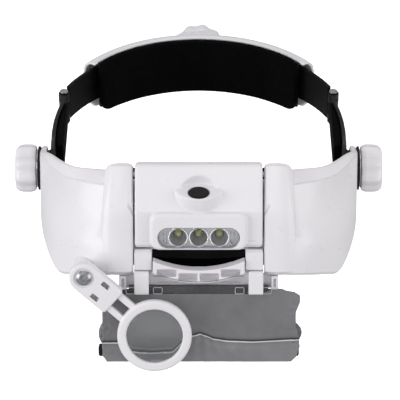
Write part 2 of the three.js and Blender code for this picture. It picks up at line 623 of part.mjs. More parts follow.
function powerButton() {
  const cap = [[0, -0.9], [BUTTON.radius - 0.6, -0.9], [BUTTON.radius, -0.3], [BUTTON.radius, 0.5],
    [BUTTON.radius - 0.8, 1], [1.8, 0.9], [0, 0.7]];
  const turned = new THREE.LatheGeometry(cap.map(([r, z]) => new THREE.Vector2(r, z)), 36)
    .rotateX(Math.PI / 2);
  return atButton(join(turned, rod(1.8, -4.6, -0.6, 'z', 0, 0, 20)));
}

function housingDoor() {
  return block(HOUSING.wall + GAP - HOUSING.half, HOUSING.half - HOUSING.wall - GAP,
    HOUSING.backY - 1.7, HOUSING.backY - GAP, HOUSING.bottom + 2.4, FRONT.top - 2.4);
}

function lampReflector() {
  const body = shapeAlongY(roundedRect(2 * WINDOW.half - 0.8, WINDOW.height - 0.8, WINDOW.height / 2 - 0.45,
    0, CUP.z), LAMP.frontY + 2.6, LAMP.frontY + 11.6, 0, 6);
  const cups = [-1, 0, 1].map((k) => turnedY([[0, LAMP.frontY + 14], [2.8, LAMP.frontY + 14],
    [2.8, LAMP.frontY + 11], [3.7, LAMP.frontY + 8.2], [4.5, LAMP.frontY + 5], [CUP.radius, LAMP.frontY + 2],
    [0, LAMP.frontY + 2]], k * CUP.pitch, CUP.z, 24));
  return cut(body, ...cups);
}

function lampWindow() {
  const outline = roundedRect(2 * WINDOW.half - 0.8, WINDOW.height - 0.8, WINDOW.height / 2 - 0.45, 0, CUP.z);
  return shapeAlongY(outline, LAMP.frontY + 0.4, LAMP.frontY + 0.4 + WINDOW.thick, 0.3, 6);
}

function lampLed(k) {
  const base = LAMP.frontY + 12.4;
  return join(block(k * CUP.pitch - 1.8, k * CUP.pitch + 1.8, base - 1.4, base, CUP.z - 1.8, CUP.z + 1.8),
    turnedY([[0, base - 4], [1, base - 3.7], [1.7, base - 2.8], [2, base - 1.2], [0, base - 1.2]],
      k * CUP.pitch, CUP.z, 20));
}

add('lamp_housing', lampHousing(), whitePlastic, visor);
add('housing_door', housingDoor(), whitePlastic, visor);
add('power_button', powerButton(), blackRubber, visor);
add('lamp_reflector', lampReflector(), chrome, visor);
add('lamp_window', lampWindow(), clearPlastic, visor);
['left', 'centre', 'right'].forEach((side, k) => add(`led_${side}`, lampLed(k - 1), ledYellow, visor));
add('lamp_board', block(-21, 21, LAMP.frontY + 12.7, LAMP.frontY + 13.7, -13.2, -4.4), boardGreen, visor);
add('switch_board', atButton(block(-6.8, 6.8, -1.8, 8, -7, -5.9)), boardGreen, visor);
addPair('battery', block(15, 31, -87, -82.6, 7, 21.6), cellSkin, visor);
addPair('lamp_pivot', rod(1.5, 31.6, 38, 'x', HINGE.y, HINGE.z, 20), brightSteel, visor);

// ---------------------------------------------------------------- lens rail, brackets and clips
// The rail's middle hangs in a shallow arch that clears the brow; its ends are low and straight.
const arch = (x) => RAIL.rise * (Math.min(Math.abs(x), RAIL.archHalf) / RAIL.archHalf) ** 2;

function archedBand(half, top, bottom, steps) {
  const upper = [];
  const lower = [];
  for (let k = 0; k <= steps; k += 1) {
    const x = -half + 2 * half * k / steps;
    upper.push([-x, top + arch(x)]);
    lower.push([-x, bottom + arch(x)]);
  }
  return polygon([...upper, ...lower.reverse()]);
}

function lensRail() {
  const band = shapeAlongY(archedBand(RAIL.archHalf, RAIL.top, RAIL.top - 7.2, 16),
    RAIL.frontY, RAIL.backY + 0.5);
  const wall = join(block(-RAIL.half, RAIL.half, RAIL.backY, RAIL.backY + 2, RAIL.bottom, -33.6),
    block(-35.2, 35.2, RAIL.backY, RAIL.backY + 2, RAIL.bottom, -30.2));
  const posts = [-1, 1].map((side) => {
    const x = side * (RAIL.half + 1.4);
    return block(x - 2, x + 2, RAIL.backY - 4.4, RAIL.backY + 2, RAIL.bottom, -33.6);
  });
  const pockets = [-1.5, -0.5, 0.5, 1.5].map((k) => {
    const x = k * RAIL.pocketPitch;
    const lift = arch(x);
    return block(x - 5.2, x + 5.2, RAIL.frontY - 1, RAIL.backY - 1.5, RAIL.top - 6.4 + lift, RAIL.top - 2 + lift);
  });
  const slits = [-1, 1].map((side) => {
    const x = side * (RAIL.half + 1.4);
    return block(x - 0.7, x + 0.7, RAIL.backY - 6, RAIL.backY - 2, RAIL.bottom + 1.2, -35.2);
  });
  const seam = shapeAlongY(archedBand(RAIL.archHalf + 2, RAIL.top - 7.3, RAIL.top - 7.9, 16), RAIL.backY - 1,
    RAIL.backY + 0.8);
  const recesses = [-1, 1].map((side) => block(side * 17 - 6, side * 17 + 6, RAIL.backY - 1, RAIL.backY + 0.5,
    RAIL.bottom + 1.4, RAIL.bottom + 3.2));
  return cut(join(wall, band, ...posts), ...pockets, ...slits, seam, ...recesses);
}

function railBracket() {
  const block2 = [[-97.4, -20.6], [-95.4, -18.6], [-83.4, -18.6], [-83.4, -23.6], [-90.2, -23.6], [-90.2, -29.9],
    [-97.4, -29.9]];
  return profileAlongX(block2, 25.5, 35.1, 0.5);
}

function lensClip() {
  const outline = [[-92.8, -30.3], [-99.6, -30.3], [-101, -31.6], [-101, -42.4], [-100, -43.2], [-99.6, -42.2],
    [-99.8, -32.2], [-92.8, -31.9]];
  return profileAlongX(outline, 27.1, 35.1, 0.3);
}

add('lens_rail', lensRail(), whitePlastic, visor);
addPair('rail_bracket', railBracket(), whitePlastic, visor);
addPair('lens_clip', lensClip(), whitePlastic, visor);

// ---------------------------------------------------------------- lens plates in their protective film
function lensPlate(half, bottom, frontY) {
  const height = PLATE.top - bottom;
  const outline = roundedRect(2 * half, height, 5, 0, (PLATE.top + bottom) / 2);
  const raised = (from, to, top) =>
    block(from, to, frontY + 0.2, frontY + PLATE.thick - 0.2, PLATE.top - 2, top);
  const lugs = [-1, 1].map((side) => raised(side * 31 - 3.6, side * 31 + 3.6, PLATE.lugTop));
  return join(shapeAlongY(outline, frontY, frontY + PLATE.thick, 0.4, 4),
    raised(-PLATE.tongue, PLATE.tongue, PLATE.tongueTop), ...lugs);
}

function lensFilm() {
  const edge = [[52.6, -42.2], [-36, -42], [-44, -40.4], [-50, -40.8], [-55.4, -44], [-55.6, -48], [-53, -54],
    [-53.2, -62], [-55.2, -68], [-55.4, -74], [-53.6, -79.6], [-50.4, -82.6], [50, -82.6], [52.8, -79]];
  return shapeAlongY(polygon(edge), PLATE.frontY - 1.2, PLATE.frontY - GAP);
}

add('lens_plate_front', lensPlate(PLATE.half, PLATE.bottom, PLATE.frontY), clearPlastic, visor);
add('lens_plate_rear', lensPlate(PLATE.half - 2, PLATE.bottom + 1.4, PLATE.frontY + PLATE.pitch), clearPlastic,
  visor);
add('lens_film', lensFilm(), greyFilm, visor);
addPair('edge_bumper', shapeAlongY(roundedRect(3, 6.2, 1.4, -53.5, -76.5), -97.6, -93.4, 0.4, 3), blackRubber,
  visor);

// ---------------------------------------------------------------- side loupe on its swinging holder
// A local frame at the pivot: local x runs along the arm, local y across it, local z towards the rear.
const armAngle = Math.atan2(LOUPE.z - PIVOT.z, LOUPE.x - PIVOT.x);
const armLength = Math.hypot(LOUPE.z - PIVOT.z, LOUPE.x - PIVOT.x);
const armFrame = new THREE.Matrix4().makeTranslation(PIVOT.x, 0, PIVOT.z)
  .multiply(new THREE.Matrix4().makeRotationY(-armAngle))
  .multiply(new THREE.Matrix4().makeBasis(new THREE.Vector3(1, 0, 0), new THREE.Vector3(0, 0, -1),
    new THREE.Vector3(0, 1, 0)));
const onArm = (geometry) => geometry.applyMatrix4(armFrame);
const armBlock = (x0, x1, y0, y1, z0, z1) => onArm(block(x0, x1, y0, y1, z0, z1));

function loupeHolder() {
  const { half, length, frontY, backY } = HOLDER;
  const round = new THREE.Shape();
  round.absarc(0, 0, half, Math.PI / 2, Math.PI * 1.5);
  round.lineTo(length - 1, -half);
  round.lineTo(length, 1 - half);
  round.lineTo(length, half - 1);
  round.lineTo(length - 1, half);
  const body = onArm(slab(round, frontY, backY, 0.6, 8));
  const channels = [-1, 1].map((side) =>
    armBlock(9.6, length + 2, side * HOLDER.prong - 2.1, side * HOLDER.prong + 2.1, -109.3, -104.9));
  const windows = [-1, 1].map((side) =>
    armBlock(9.3, 14.2, side * HOLDER.prong - 1.3, side * HOLDER.prong + 1.3, -112, -108));
  const recess = onArm(rod(5.4, -112, frontY + 0.8, 'z', 0, 0, 32));
  const bore = onArm(rod(2.1, -112, -100, 'z', 0, 0, 20));
  return cut(body, ...channels, ...windows, recess, bore);
}

function loupeRing() {
  const { outer, inner, frontY, backY } = LOUPE;
  const ring = turnedY([[inner, frontY + 0.6], [inner + 0.8, frontY], [outer - 1, frontY], [outer, frontY + 1],
    [outer, backY - 1], [outer - 1, backY], [inner + 0.8, backY], [inner, backY - 0.6],
    [inner, frontY + 0.6]], LOUPE.x, LOUPE.z, 40);
  const prongs = [-1, 1].map((side) =>
    armBlock(HOLDER.prongStart, armLength - outer + 2, side * HOLDER.prong - 1.7, side * HOLDER.prong + 1.7,
      -108.9, -105.3));
  return join(ring, ...prongs);
}

function loupeLens() {
  const rim = LOUPE.inner - GAP;
  const middle = (LOUPE.frontY + LOUPE.backY) / 2;
  const bulge = (sign) => [1, 0.75, 0.5, 0.25, 0].map((t) => [rim * t, middle + sign * (1 + 1.3 * (1 - t * t))]);
  return turnedY([...bulge(-1).reverse(), ...bulge(1)], LOUPE.x, LOUPE.z, 36);
}

function loupeScrew() {
  const head = turnedY([[0, -111.9], [2.6, -111.7], [4.2, -110.6], [4.2, -110], [1.8, -110], [1.8, -96],
    [0, -96]], PIVOT.x, PIVOT.z, 32);
  const slot = (x, z) => block(PIVOT.x - x, PIVOT.x + x, -113, -111, PIVOT.z - z, PIVOT.z + z);
  return cut(head, slot(2.3, 0.45), slot(0.45, 2.3));
}

add('loupe_holder', loupeHolder(), whitePlastic, visor);
add('loupe_screw', loupeScrew(), chrome, visor);
add('loupe_ring', loupeRing(), whitePlastic, visor);
add('loupe_lens', loupeLens(), clearPlastic, visor);

export default magnifier;
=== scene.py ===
# Head visor magnifier: the looks, in metres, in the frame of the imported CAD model.
import json
import math
import bmesh
import bpy
from mathutils import Matrix, Vector, noise


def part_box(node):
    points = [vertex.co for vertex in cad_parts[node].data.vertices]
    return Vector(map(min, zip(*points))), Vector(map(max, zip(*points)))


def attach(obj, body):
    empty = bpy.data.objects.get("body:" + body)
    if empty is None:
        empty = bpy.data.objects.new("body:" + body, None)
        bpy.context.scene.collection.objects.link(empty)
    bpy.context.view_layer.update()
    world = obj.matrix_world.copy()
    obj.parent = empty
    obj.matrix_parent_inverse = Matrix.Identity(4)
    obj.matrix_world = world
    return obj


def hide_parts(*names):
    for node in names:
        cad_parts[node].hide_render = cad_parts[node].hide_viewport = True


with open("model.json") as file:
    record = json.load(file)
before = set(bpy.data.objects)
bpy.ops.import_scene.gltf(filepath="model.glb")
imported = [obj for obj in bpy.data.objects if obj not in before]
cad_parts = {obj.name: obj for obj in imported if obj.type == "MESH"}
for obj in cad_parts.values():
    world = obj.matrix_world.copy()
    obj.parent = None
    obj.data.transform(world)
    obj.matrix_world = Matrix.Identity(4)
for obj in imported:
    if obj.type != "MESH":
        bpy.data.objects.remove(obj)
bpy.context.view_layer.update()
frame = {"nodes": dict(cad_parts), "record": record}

MM = 0.001
NODES = frame["nodes"]
VISOR_TILT = 16                                              # degrees, front raised
VISOR = Matrix.Rotation(math.radians(-VISOR_TILT), 4, "X")   # the visor's own frame
TO_VISOR = VISOR.inverted()
scene = bpy.context.scene

# The film in the visor's frame, in millimetres.
FILM_START, FILM_WIDE = -53, 108      # x of its left edge, and its width
FILM_BOTTOM, FILM_FOOT = -82, -82.6   # z from which its folds are measured, and z of its lower edge
FILM_TOP = [(-53, -43.4), (34, -43.2), (42, -41.2), (49, -40.6), (55, -42)]   # (x, z) along the upper edge
FILM_LEFT = [(-42.2, -52.6), (-79.0, -52.8), (-82.6, -50.2)]                  # (z, x) down the left edge
FILM_RIGHT = [(-40.6, 50.0), (-44.0, 55.2), (-48.0, 55.3), (-54.0, 53.0), (-62.0, 53.2), (-68.0, 55.0),
              (-74.0, 55.2), (-79.6, 53.6), (-82.6, 50.4)]                    # (z, x) down the right edge
FOLD = [(-53, -70.8), (-41, -70.8), (-36, -74.6), (-26, -75.2), (-15, -74.6), (-9, -68.4), (0.8, -65.5),
        (4, -66.6), (8, -68.4), (16, -69.8), (29, -70.2), (40, -69.7), (55, -69.0)]   # (x, z) of the crease


# ---------------------------------------------------------------- camera, light, floor
def make_camera():
    """Long-lens camera in front of the origin, looking down at it."""
    elevation, distance = math.radians(32), 1.5
    sensor = 36
    focal, shift_across, shift_up = 6.505, 0.00325, -0.08     # as shares of the picture's width
    forward = Vector((0, math.cos(elevation), -math.sin(elevation)))
    data = bpy.data.cameras.new("camera")
    data.sensor_width = sensor
    data.lens = sensor * focal
    data.shift_x, data.shift_y = shift_across, shift_up
    data.clip_start, data.clip_end = 0.05, 20
    camera = bpy.data.objects.new("camera", data)
    camera.location = -forward * distance
    camera.rotation_mode = "QUATERNION"
    camera.rotation_quaternion = forward.to_track_quat("-Z", "Y")
    scene.collection.objects.link(camera)
    scene.camera = camera


def area_light(name, place, target, size, power):
    """Rectangular lamp of the given size in metres and power in watts, aimed at target."""
    data = bpy.data.lights.new(name, "AREA")
    data.shape = "RECTANGLE"
    data.size, data.size_y = size
    data.energy = power
    light = bpy.data.objects.new(name, data)
    light.location = place
    light.rotation_mode = "QUATERNION"
    light.rotation_quaternion = (Vector(target) - Vector(place)).to_track_quat("-Z", "Y")
    scene.collection.objects.link(light)


def make_studio():
    """White surroundings, slightly brighter above, four soft lamps and a white paper floor."""
    world = bpy.data.worlds.new("studio")
    world.use_nodes = True
    nodes, links = world.node_tree.nodes, world.node_tree.links
    direction = nodes.new("ShaderNodeTexCoord")
    height = nodes.new("ShaderNodeSeparateXYZ")
    links.new(direction.outputs["Generated"], height.inputs["Vector"])
    shade = nodes.new("ShaderNodeMapRange")
    shade.inputs["From Min"].default_value, shade.inputs["From Max"].default_value = -0.8, 0.7
    shade.inputs["To Min"].default_value, shade.inputs["To Max"].default_value = 0.46, 0.60
    nodes["Background"].inputs["Color"].default_value = (1, 1, 1, 1)
    links.new(height.outputs["Z"], shade.inputs["Value"])
    links.new(shade.outputs["Result"], nodes["Background"].inputs["Strength"])
    scene.world = world
    area_light("front_left", (-1.35, -0.75, 0.35), (0, -0.05, -0.02), (1.1, 1.0), 12.0)
    area_light("front_right", (1.35, -0.8, 0.35), (0, -0.05, -0.02), (1.1, 1.0), 8.0)
    area_light("key", (-0.2, -1.1, 1.2), (0, 0, 0), (0.7, 0.7), 2.0)
    area_light("top", (0.1, 0.5, 1.5), (0, 0.05, 0), (1.0, 0.8), 1.5)
    scene.view_settings.view_transform = "Standard"
    scene.view_settings.look = "None"
    scene.view_settings.exposure = 0.0

    mesh = bpy.data.meshes.new("floor")
    level, reach = -0.16, 10.0
    mesh.from_pydata([(-reach, -reach, level), (reach, -reach, level), (reach, reach, level),
                      (-reach, reach, level)], [], [(0, 1, 2, 3)])
    floor = bpy.data.objects.new("floor", mesh)
    scene.collection.objects.link(floor)
    material, nodes, links, shader = new_material("floor_paper", 0.6)
    grain = texture(nodes, "ShaderNodeTexNoise", Scale=40.0, Detail=3.0)
    tint = ramp(nodes, links, grain.outputs["Fac"], (0.93, 0.93, 0.935), (0.97, 0.97, 0.972))
    links.new(tint, shader.inputs["Base Color"])
    shader.inputs["Emission Color"].default_value = (1, 1, 1, 1)
    shader.inputs["Emission Strength"].default_value = 0.75
    mesh.materials.append(material)
    floor.visible_diffuse = False
    floor.visible_glossy = False


# ---------------------------------------------------------------- materials
def new_material(name, roughness, **sockets):
    """Material and its node handles; a socket is named with _ for each space in its own name."""
    material = bpy.data.materials.new(name)
    material.use_nodes = True
    nodes, links = material.node_tree.nodes, material.node_tree.links
    shader = nodes["Principled BSDF"]
    shader.inputs["Roughness"].default_value = roughness
    for key, value in sockets.items():
        shader.inputs[key.replace("_", " ")].default_value = value
    return material, nodes, links, shader


def texture(nodes, kind, **values):
    """Texture node in the object's own coordinates."""
    node = nodes.new(kind)
    coordinates = nodes.get("Texture Coordinate") or nodes.new("ShaderNodeTexCoord")
    node.id_data.links.new(coordinates.outputs["Object"], node.inputs["Vector"])
    for key, value in values.items():
        node.inputs[key].default_value = value
    return node


def stretched(nodes, links, node, scale):
    """Feeds a texture node with coordinates scaled along each axis."""
    mapping = nodes.new("ShaderNodeMapping")
    mapping.inputs["Scale"].default_value = scale
    links.new(nodes["Texture Coordinate"].outputs["Object"], mapping.inputs["Vector"])
    links.new(mapping.outputs["Vector"], node.inputs["Vector"])


def ramp(nodes, links, source, low, high, start=0.3, end=0.7):
    """Colour that runs from low to high over the middle of the source's range."""
    node = nodes.new("ShaderNodeValToRGB")
    node.color_ramp.elements[0].position, node.color_ramp.elements[1].position = start, end
    node.color_ramp.elements[0].color = (*low, 1)
    node.color_ramp.elements[1].color = (*high, 1)
    links.new(source, node.inputs["Fac"])
    return node.outputs["Color"]


def spread(nodes, links, source, low, high):
    """Value that runs from low to high over the middle of the source's range."""
    node = nodes.new("ShaderNodeMapRange")
    node.inputs["From Min"].default_value, node.inputs["From Max"].default_value = 0.3, 0.7
    node.inputs["To Min"].default_value, node.inputs["To Max"].default_value = low, high
    links.new(source, node.inputs["Value"])
    return node.outputs["Result"]


def bump(nodes, links, shader, source, strength, depth, below=None):
    """Surface relief, laid over an earlier relief when one is given as below."""
    node = nodes.new("ShaderNodeBump")
    node.inputs["Strength"].default_value = strength
    node.inputs["Distance"].default_value = depth
    links.new(source, node.inputs["Height"])
    if below:
        links.new(below.outputs["Normal"], node.inputs["Normal"])
    links.new(node.outputs["Normal"], shader.inputs["Normal"])
    return node


def moulded(name, low, high, rough_low, rough_high, grain_scale, grain_depth, **sockets):
    """Moulded plastic: a slow drift of colour and gloss over a fine moulded grain."""
    material, nodes, links, shader = new_material(name, rough_low, **sockets)
    drift = texture(nodes, "ShaderNodeTexNoise", Scale=16.0, Detail=3.0)
    links.new(ramp(nodes, links, drift.outputs["Fac"], low, high), shader.inputs["Base Color"])
    haze = texture(nodes, "ShaderNodeTexNoise", Scale=110.0, Detail=5.0)
    links.new(spread(nodes, links, haze.outputs["Fac"], rough_low, rough_high), shader.inputs["Roughness"])
    grain = texture(nodes, "ShaderNodeTexNoise", Scale=grain_scale, Detail=2.0)
    bump(nodes, links, shader, grain.outputs["Fac"], 0.35, grain_depth)
    return material


def foam_cloth():
    """Black knitted cover over foam: rows of small raised stitches with a soft nap."""
    material, nodes, links, shader = new_material("foam_cloth", 0.8, Specular_IOR_Level=0.05,
                                                  Sheen_Weight=0.01, Sheen_Roughness=0.4)
    stitches = texture(nodes, "ShaderNodeTexVoronoi", Scale=1150.0, Randomness=0.55)
    nap = texture(nodes, "ShaderNodeTexNoise", Scale=260.0, Detail=6.0)
    fade = texture(nodes, "ShaderNodeTexNoise", Scale=24.0, Detail=2.0)
    links.new(ramp(nodes, links, fade.outputs["Fac"], (0.0008, 0.0008, 0.0009), (0.0018, 0.0018, 0.0021)),
              shader.inputs["Base Color"])
    links.new(spread(nodes, links, nap.outputs["Fac"], 0.78, 0.95), shader.inputs["Roughness"])
    soft = bump(nodes, links, shader, nap.outputs["Fac"], 0.3, 0.0003)
    bump(nodes, links, shader, stitches.outputs["Distance"], 0.75, 0.00035, soft)
    return material


def webbing():
    """Black nylon band: fine cross ribs over a slight sheen."""
    material, nodes, links, shader = new_material("webbing", 0.6, Specular_IOR_Level=0.12)
    ribs = texture(nodes, "ShaderNodeTexWave", Scale=420.0, Distortion=0.6, Detail=1.0)
    ribs.bands_direction = "Z"
    fade = texture(nodes, "ShaderNodeTexNoise", Scale=60.0, Detail=4.0)
    links.new(ramp(nodes, links, fade.outputs["Fac"], (0.0022, 0.0022, 0.0025), (0.0045, 0.0045, 0.005)),
              shader.inputs["Base Color"])
    links.new(spread(nodes, links, fade.outputs["Fac"], 0.5, 0.68), shader.inputs["Roughness"])
    bump(nodes, links, shader, ribs.outputs["Fac"], 0.35, 0.00012)
    return material


def metal(name, low, high, rough_low, rough_high, scale, stretch=(1, 1, 1), metallic=1.0):
    """Metal with faint marks, drawn out along an axis when stretched."""
    material, nodes, links, shader = new_material(name, rough_low, Metallic=metallic)
    marks = texture(nodes, "ShaderNodeTexNoise", Scale=scale, Detail=5.0)
    stretched(nodes, links, marks, stretch)
    links.new(ramp(nodes, links, marks.outputs["Fac"], low, high), shader.inputs["Base Color"])
    links.new(spread(nodes, links, marks.outputs["Fac"], rough_low, rough_high), shader.inputs["Roughness"])
    bump(nodes, links, shader, marks.outputs["Fac"], 0.08, 0.00005)
    return material


def clear(name, tint, alpha):
    """Polished acrylic that light passes straight through, with its gloss kept on top."""
    material, nodes, links, shader = new_material(name, 0.04, IOR=1.49, Transmission_Weight=1.0)
    shader.inputs["Alpha"].default_value = alpha
    wipe = texture(nodes, "ShaderNodeTexNoise", Scale=70.0, Detail=4.0)
    links.new(ramp(nodes, links, wipe.outputs["Fac"], tint, [c * 0.94 for c in tint]),
              shader.inputs["Base Color"])
    links.new(spread(nodes, links, wipe.outputs["Fac"], 0.02, 0.07), shader.inputs["Roughness"])
    return material


def value_ramp(nodes, links, source, points):
    """Colour ramp read as a plain curve through (position, value) pairs between 0 and 1."""
    node = nodes.new("ShaderNodeValToRGB")
    stops = node.color_ramp.elements
    while len(stops) < len(points):
        stops.new(0.5)
    for stop, (position, _) in zip(stops, sorted(points)):
        stop.position = position
    for stop, (_, value) in zip(stops, sorted(points)):
        stop.color = (value, value, value, 1)
    links.new(source, node.inputs["Fac"])
    return node.outputs["Color"]


def arithmetic(nodes, links, operation, first, second, third=None):
    """Math node whose inputs are numbers or sockets."""
    node = nodes.new("ShaderNodeMath")
    node.operation = operation
    for socket, value in zip(node.inputs, (first, second, third)):
        if value is None:
            continue
        if isinstance(value, (int, float)):
            socket.default_value = value
        else:
            links.new(value, socket)
    return node.outputs["Value"]


def painted_crease_light(nodes, links):
    """Painted light across the film's long crease: a painted highlight on the lip just below it, painted
    shade in a dark line on it, and the sheet painted a little paler below it than above, where it tilts
    differently.
    """
    height_span, zoom = 42, 3.5      # millimetres covered, and how far the curve is drawn out at the crease
    place = nodes.new("ShaderNodeMapping")
    place.inputs["Rotation"].default_value = (math.radians(VISOR_TILT), 0, 0)
    links.new(nodes["Texture Coordinate"].outputs["Object"], place.inputs["Vector"])
    axes = nodes.new("ShaderNodeSeparateXYZ")
    links.new(place.outputs["Vector"], axes.inputs["Vector"])
    across = arithmetic(nodes, links, "MULTIPLY_ADD", axes.outputs["X"], 1000 / FILM_WIDE,
                        -FILM_START / FILM_WIDE)
    height = arithmetic(nodes, links, "MULTIPLY_ADD", axes.outputs["Z"], 1000 / height_span,
                        -FILM_BOTTOM / height_span)
    crease = value_ramp(nodes, links, across, [((x - FILM_START) / FILM_WIDE, (z - FILM_BOTTOM) / height_span)
                                               for x, z in FOLD])
    off = arithmetic(nodes, links, "SUBTRACT", height, crease)
    spot = arithmetic(nodes, links, "MULTIPLY_ADD", off, zoom, 0.5)
    # Painted light: a painted highlight on the lip below the crease and painted shade on the crease itself.
    painted_crease_tones = [(-4.2, 0.30), (-2.2, 0.29), (-1.2, 0.27), (-0.95, 1.0), (-0.4, 0.95), (-0.2, 0.06), (0.5, 0.05),
             (1.1, 0.20), (2.5, 0.25)]      # (millimetres above the crease, painted brightness)
    curve = [(0.5 + zoom * above / height_span, tone) for above, tone in painted_crease_tones]
    line = value_ramp(nodes, links, spot, [(0, 0.29), *curve, (1, 0.25)])
    fleck = texture(nodes, "ShaderNodeTexNoise", Scale=170.0, Detail=3.0)
    return arithmetic(nodes, links, "MULTIPLY", line, spread(nodes, links, fleck.outputs["Fac"], 3.75, 4.25))


def protective_film():
    """Grey see-through film with fine drawn lines, soft cloudy patches, and a painted highlight and painted
    shade along its crease.
    """
    material, nodes, links, shader = new_material("grey_film", 0.34, IOR=1.46, Specular_IOR_Level=0.42,
                                                  Coat_Weight=0.12, Coat_Roughness=0.2)
    shader.inputs["Alpha"].default_value = 0.93
    cloud = texture(nodes, "ShaderNodeTexNoise", Scale=22.0, Detail=6.0, Distortion=0.4)
    stretched(nodes, links, cloud, (0.7, 1.0, 1.3))
    speck = texture(nodes, "ShaderNodeTexNoise", Scale=700.0, Detail=2.0)
    tint = ramp(nodes, links, cloud.outputs["Fac"], (0.165, 0.165, 0.173), (0.225, 0.225, 0.235), 0.25, 0.75)
    # The film's tint times the painted highlight and painted shade along its crease.
    shade = nodes.new("ShaderNodeMix")
    shade.data_type = "RGBA"
    shade.blend_type = "MULTIPLY"
    shade.inputs["Factor"].default_value = 1.0
    links.new(tint, shade.inputs["A"])
    links.new(painted_crease_light(nodes, links), shade.inputs["B"])
    links.new(shade.outputs["Result"], shader.inputs["Base Color"])
    links.new(spread(nodes, links, cloud.outputs["Fac"], 0.26, 0.46), shader.inputs["Roughness"])
    lines = texture(nodes, "ShaderNodeTexNoise", Scale=30.0, Detail=4.0)
    stretched(nodes, links, lines, (0.5, 2.0, 3.5))
    soft = bump(nodes, links, shader, lines.outputs["Fac"], 0.2, 0.0006)
    bump(nodes, links, shader, speck.outputs["Fac"], 0.12, 0.00006, soft)
    return material


def smoked_plate():
    """Clear lens plastic under its grey film: dark grey and glossy, a little see-through."""
    material, nodes, links, shader = new_material("smoked_plate", 0.12, IOR=1.49, Transmission_Weight=0.35)
    shader.inputs["Alpha"].default_value = 0.95
    cloud = texture(nodes, "ShaderNodeTexNoise", Scale=60.0, Detail=4.0)
    links.new(ramp(nodes, links, cloud.outputs["Fac"], (0.075, 0.075, 0.08), (0.125, 0.125, 0.13)),
              shader.inputs["Base Color"])
    links.new(spread(nodes, links, cloud.outputs["Fac"], 0.12, 0.3), shader.inputs["Roughness"])
    return material


def phosphor():
    """Yellow face of an LED, faintly glowing."""
    material, nodes, links, shader = new_material("phosphor", 0.3, Coat_Weight=0.5, Coat_Roughness=0.08)
    dust = texture(nodes, "ShaderNodeTexNoise", Scale=600.0, Detail=3.0)
    links.new(ramp(nodes, links, dust.outputs["Fac"], (0.44, 0.44, 0.13), (0.60, 0.60, 0.24)),
              shader.inputs["Base Color"])
    shader.inputs["Emission Color"].default_value = (0.75, 0.75, 0.35, 1)
    shader.inputs["Emission Strength"].default_value = 0.05
    bump(nodes, links, shader, dust.outputs["Fac"], 0.2, 0.00005)
    return material


def printed_board():
    """Green board with a pattern of tracks."""
    material, nodes, links, shader = new_material("printed_board", 0.35)
    tracks = texture(nodes, "ShaderNodeTexBrick", Scale=220.0)
    tracks.inputs["Color1"].default_value = (0.012, 0.13, 0.045, 1)
    tracks.inputs["Color2"].default_value = (0.016, 0.17, 0.06, 1)
    tracks.inputs["Mortar"].default_value = (0.03, 0.26, 0.10, 1)
    links.new(tracks.outputs["Color"], shader.inputs["Base Color"])
    bump(nodes, links, shader, tracks.outputs["Fac"], 0.2, 0.00006)
    return material


def make_materials():
    """All materials, by the names that FINISHES and the record's material slots use."""
    return {
        "white_plastic": moulded("white_plastic", (0.775, 0.755, 0.79), (0.815, 0.795, 0.825), 0.26, 0.38,
                                 900.0, 0.00002, Specular_IOR_Level=0.42, Coat_Weight=0.08,
                                 Coat_Roughness=0.15),
        "black_plastic": moulded("black_plastic", (0.003, 0.003, 0.0034), (0.006, 0.006, 0.0066), 0.3, 0.45,
                                 1300.0, 0.00005, Specular_IOR_Level=0.2),
        "black_rubber": moulded("black_rubber", (0.006, 0.006, 0.0065), (0.01, 0.01, 0.0105), 0.5, 0.7,
                                1500.0, 0.00006, Specular_IOR_Level=0.2),
        "black_foam": foam_cloth(),
        "webbing": webbing(),
        "bright_steel": metal("bright_steel", (0.52, 0.52, 0.53), (0.70, 0.70, 0.71), 0.16, 0.34, 900.0,
                              (1, 0.12, 0.12)),
        "chrome": metal("chrome", (0.40, 0.40, 0.42), (0.58, 0.58, 0.60), 0.08, 0.2, 300.0),
        "reflector_silver": metal("reflector_silver", (0.40, 0.40, 0.43), (0.48, 0.48, 0.51), 0.3, 0.42, 60.0,
                                  metallic=0.35),
        "screw_steel": metal("screw_steel", (0.26, 0.27, 0.28), (0.44, 0.45, 0.46), 0.24, 0.4, 500.0,
                             metallic=0.85),
        "bright_chrome": metal("bright_chrome", (0.80, 0.80, 0.82), (0.92, 0.92, 0.93), 0.1, 0.2, 300.0),
        "clear_plastic": clear("clear_plastic", (0.97, 0.98, 0.985), 0.85),
        "grey_film": protective_film(),
        "smoked_plate": smoked_plate(),
        "loose_film": moulded("loose_film", (0.09, 0.09, 0.10), (0.26, 0.26, 0.27), 0.12, 0.35, 420.0, 0.0009,
                              Specular_IOR_Level=0.6),
        "clear_edge": moulded("clear_edge", (0.42, 0.42, 0.43), (0.60, 0.60, 0.61), 0.1, 0.25, 500.0,
                              0.00003),
        "board_green": printed_board(),
        "led_yellow": phosphor(),
        "cell_skin": moulded("cell_skin", (0.07, 0.10, 0.14), (0.10, 0.14, 0.19), 0.25, 0.4, 500.0, 0.00005),
        # Dark grey for the painted shade along the bottoms of the rail's pockets.
        "pocket_shade_grey": moulded("pocket_shade_grey", (0.10, 0.10, 0.11), (0.18, 0.18, 0.19), 0.35, 0.5, 900.0, 0.00003),
    }


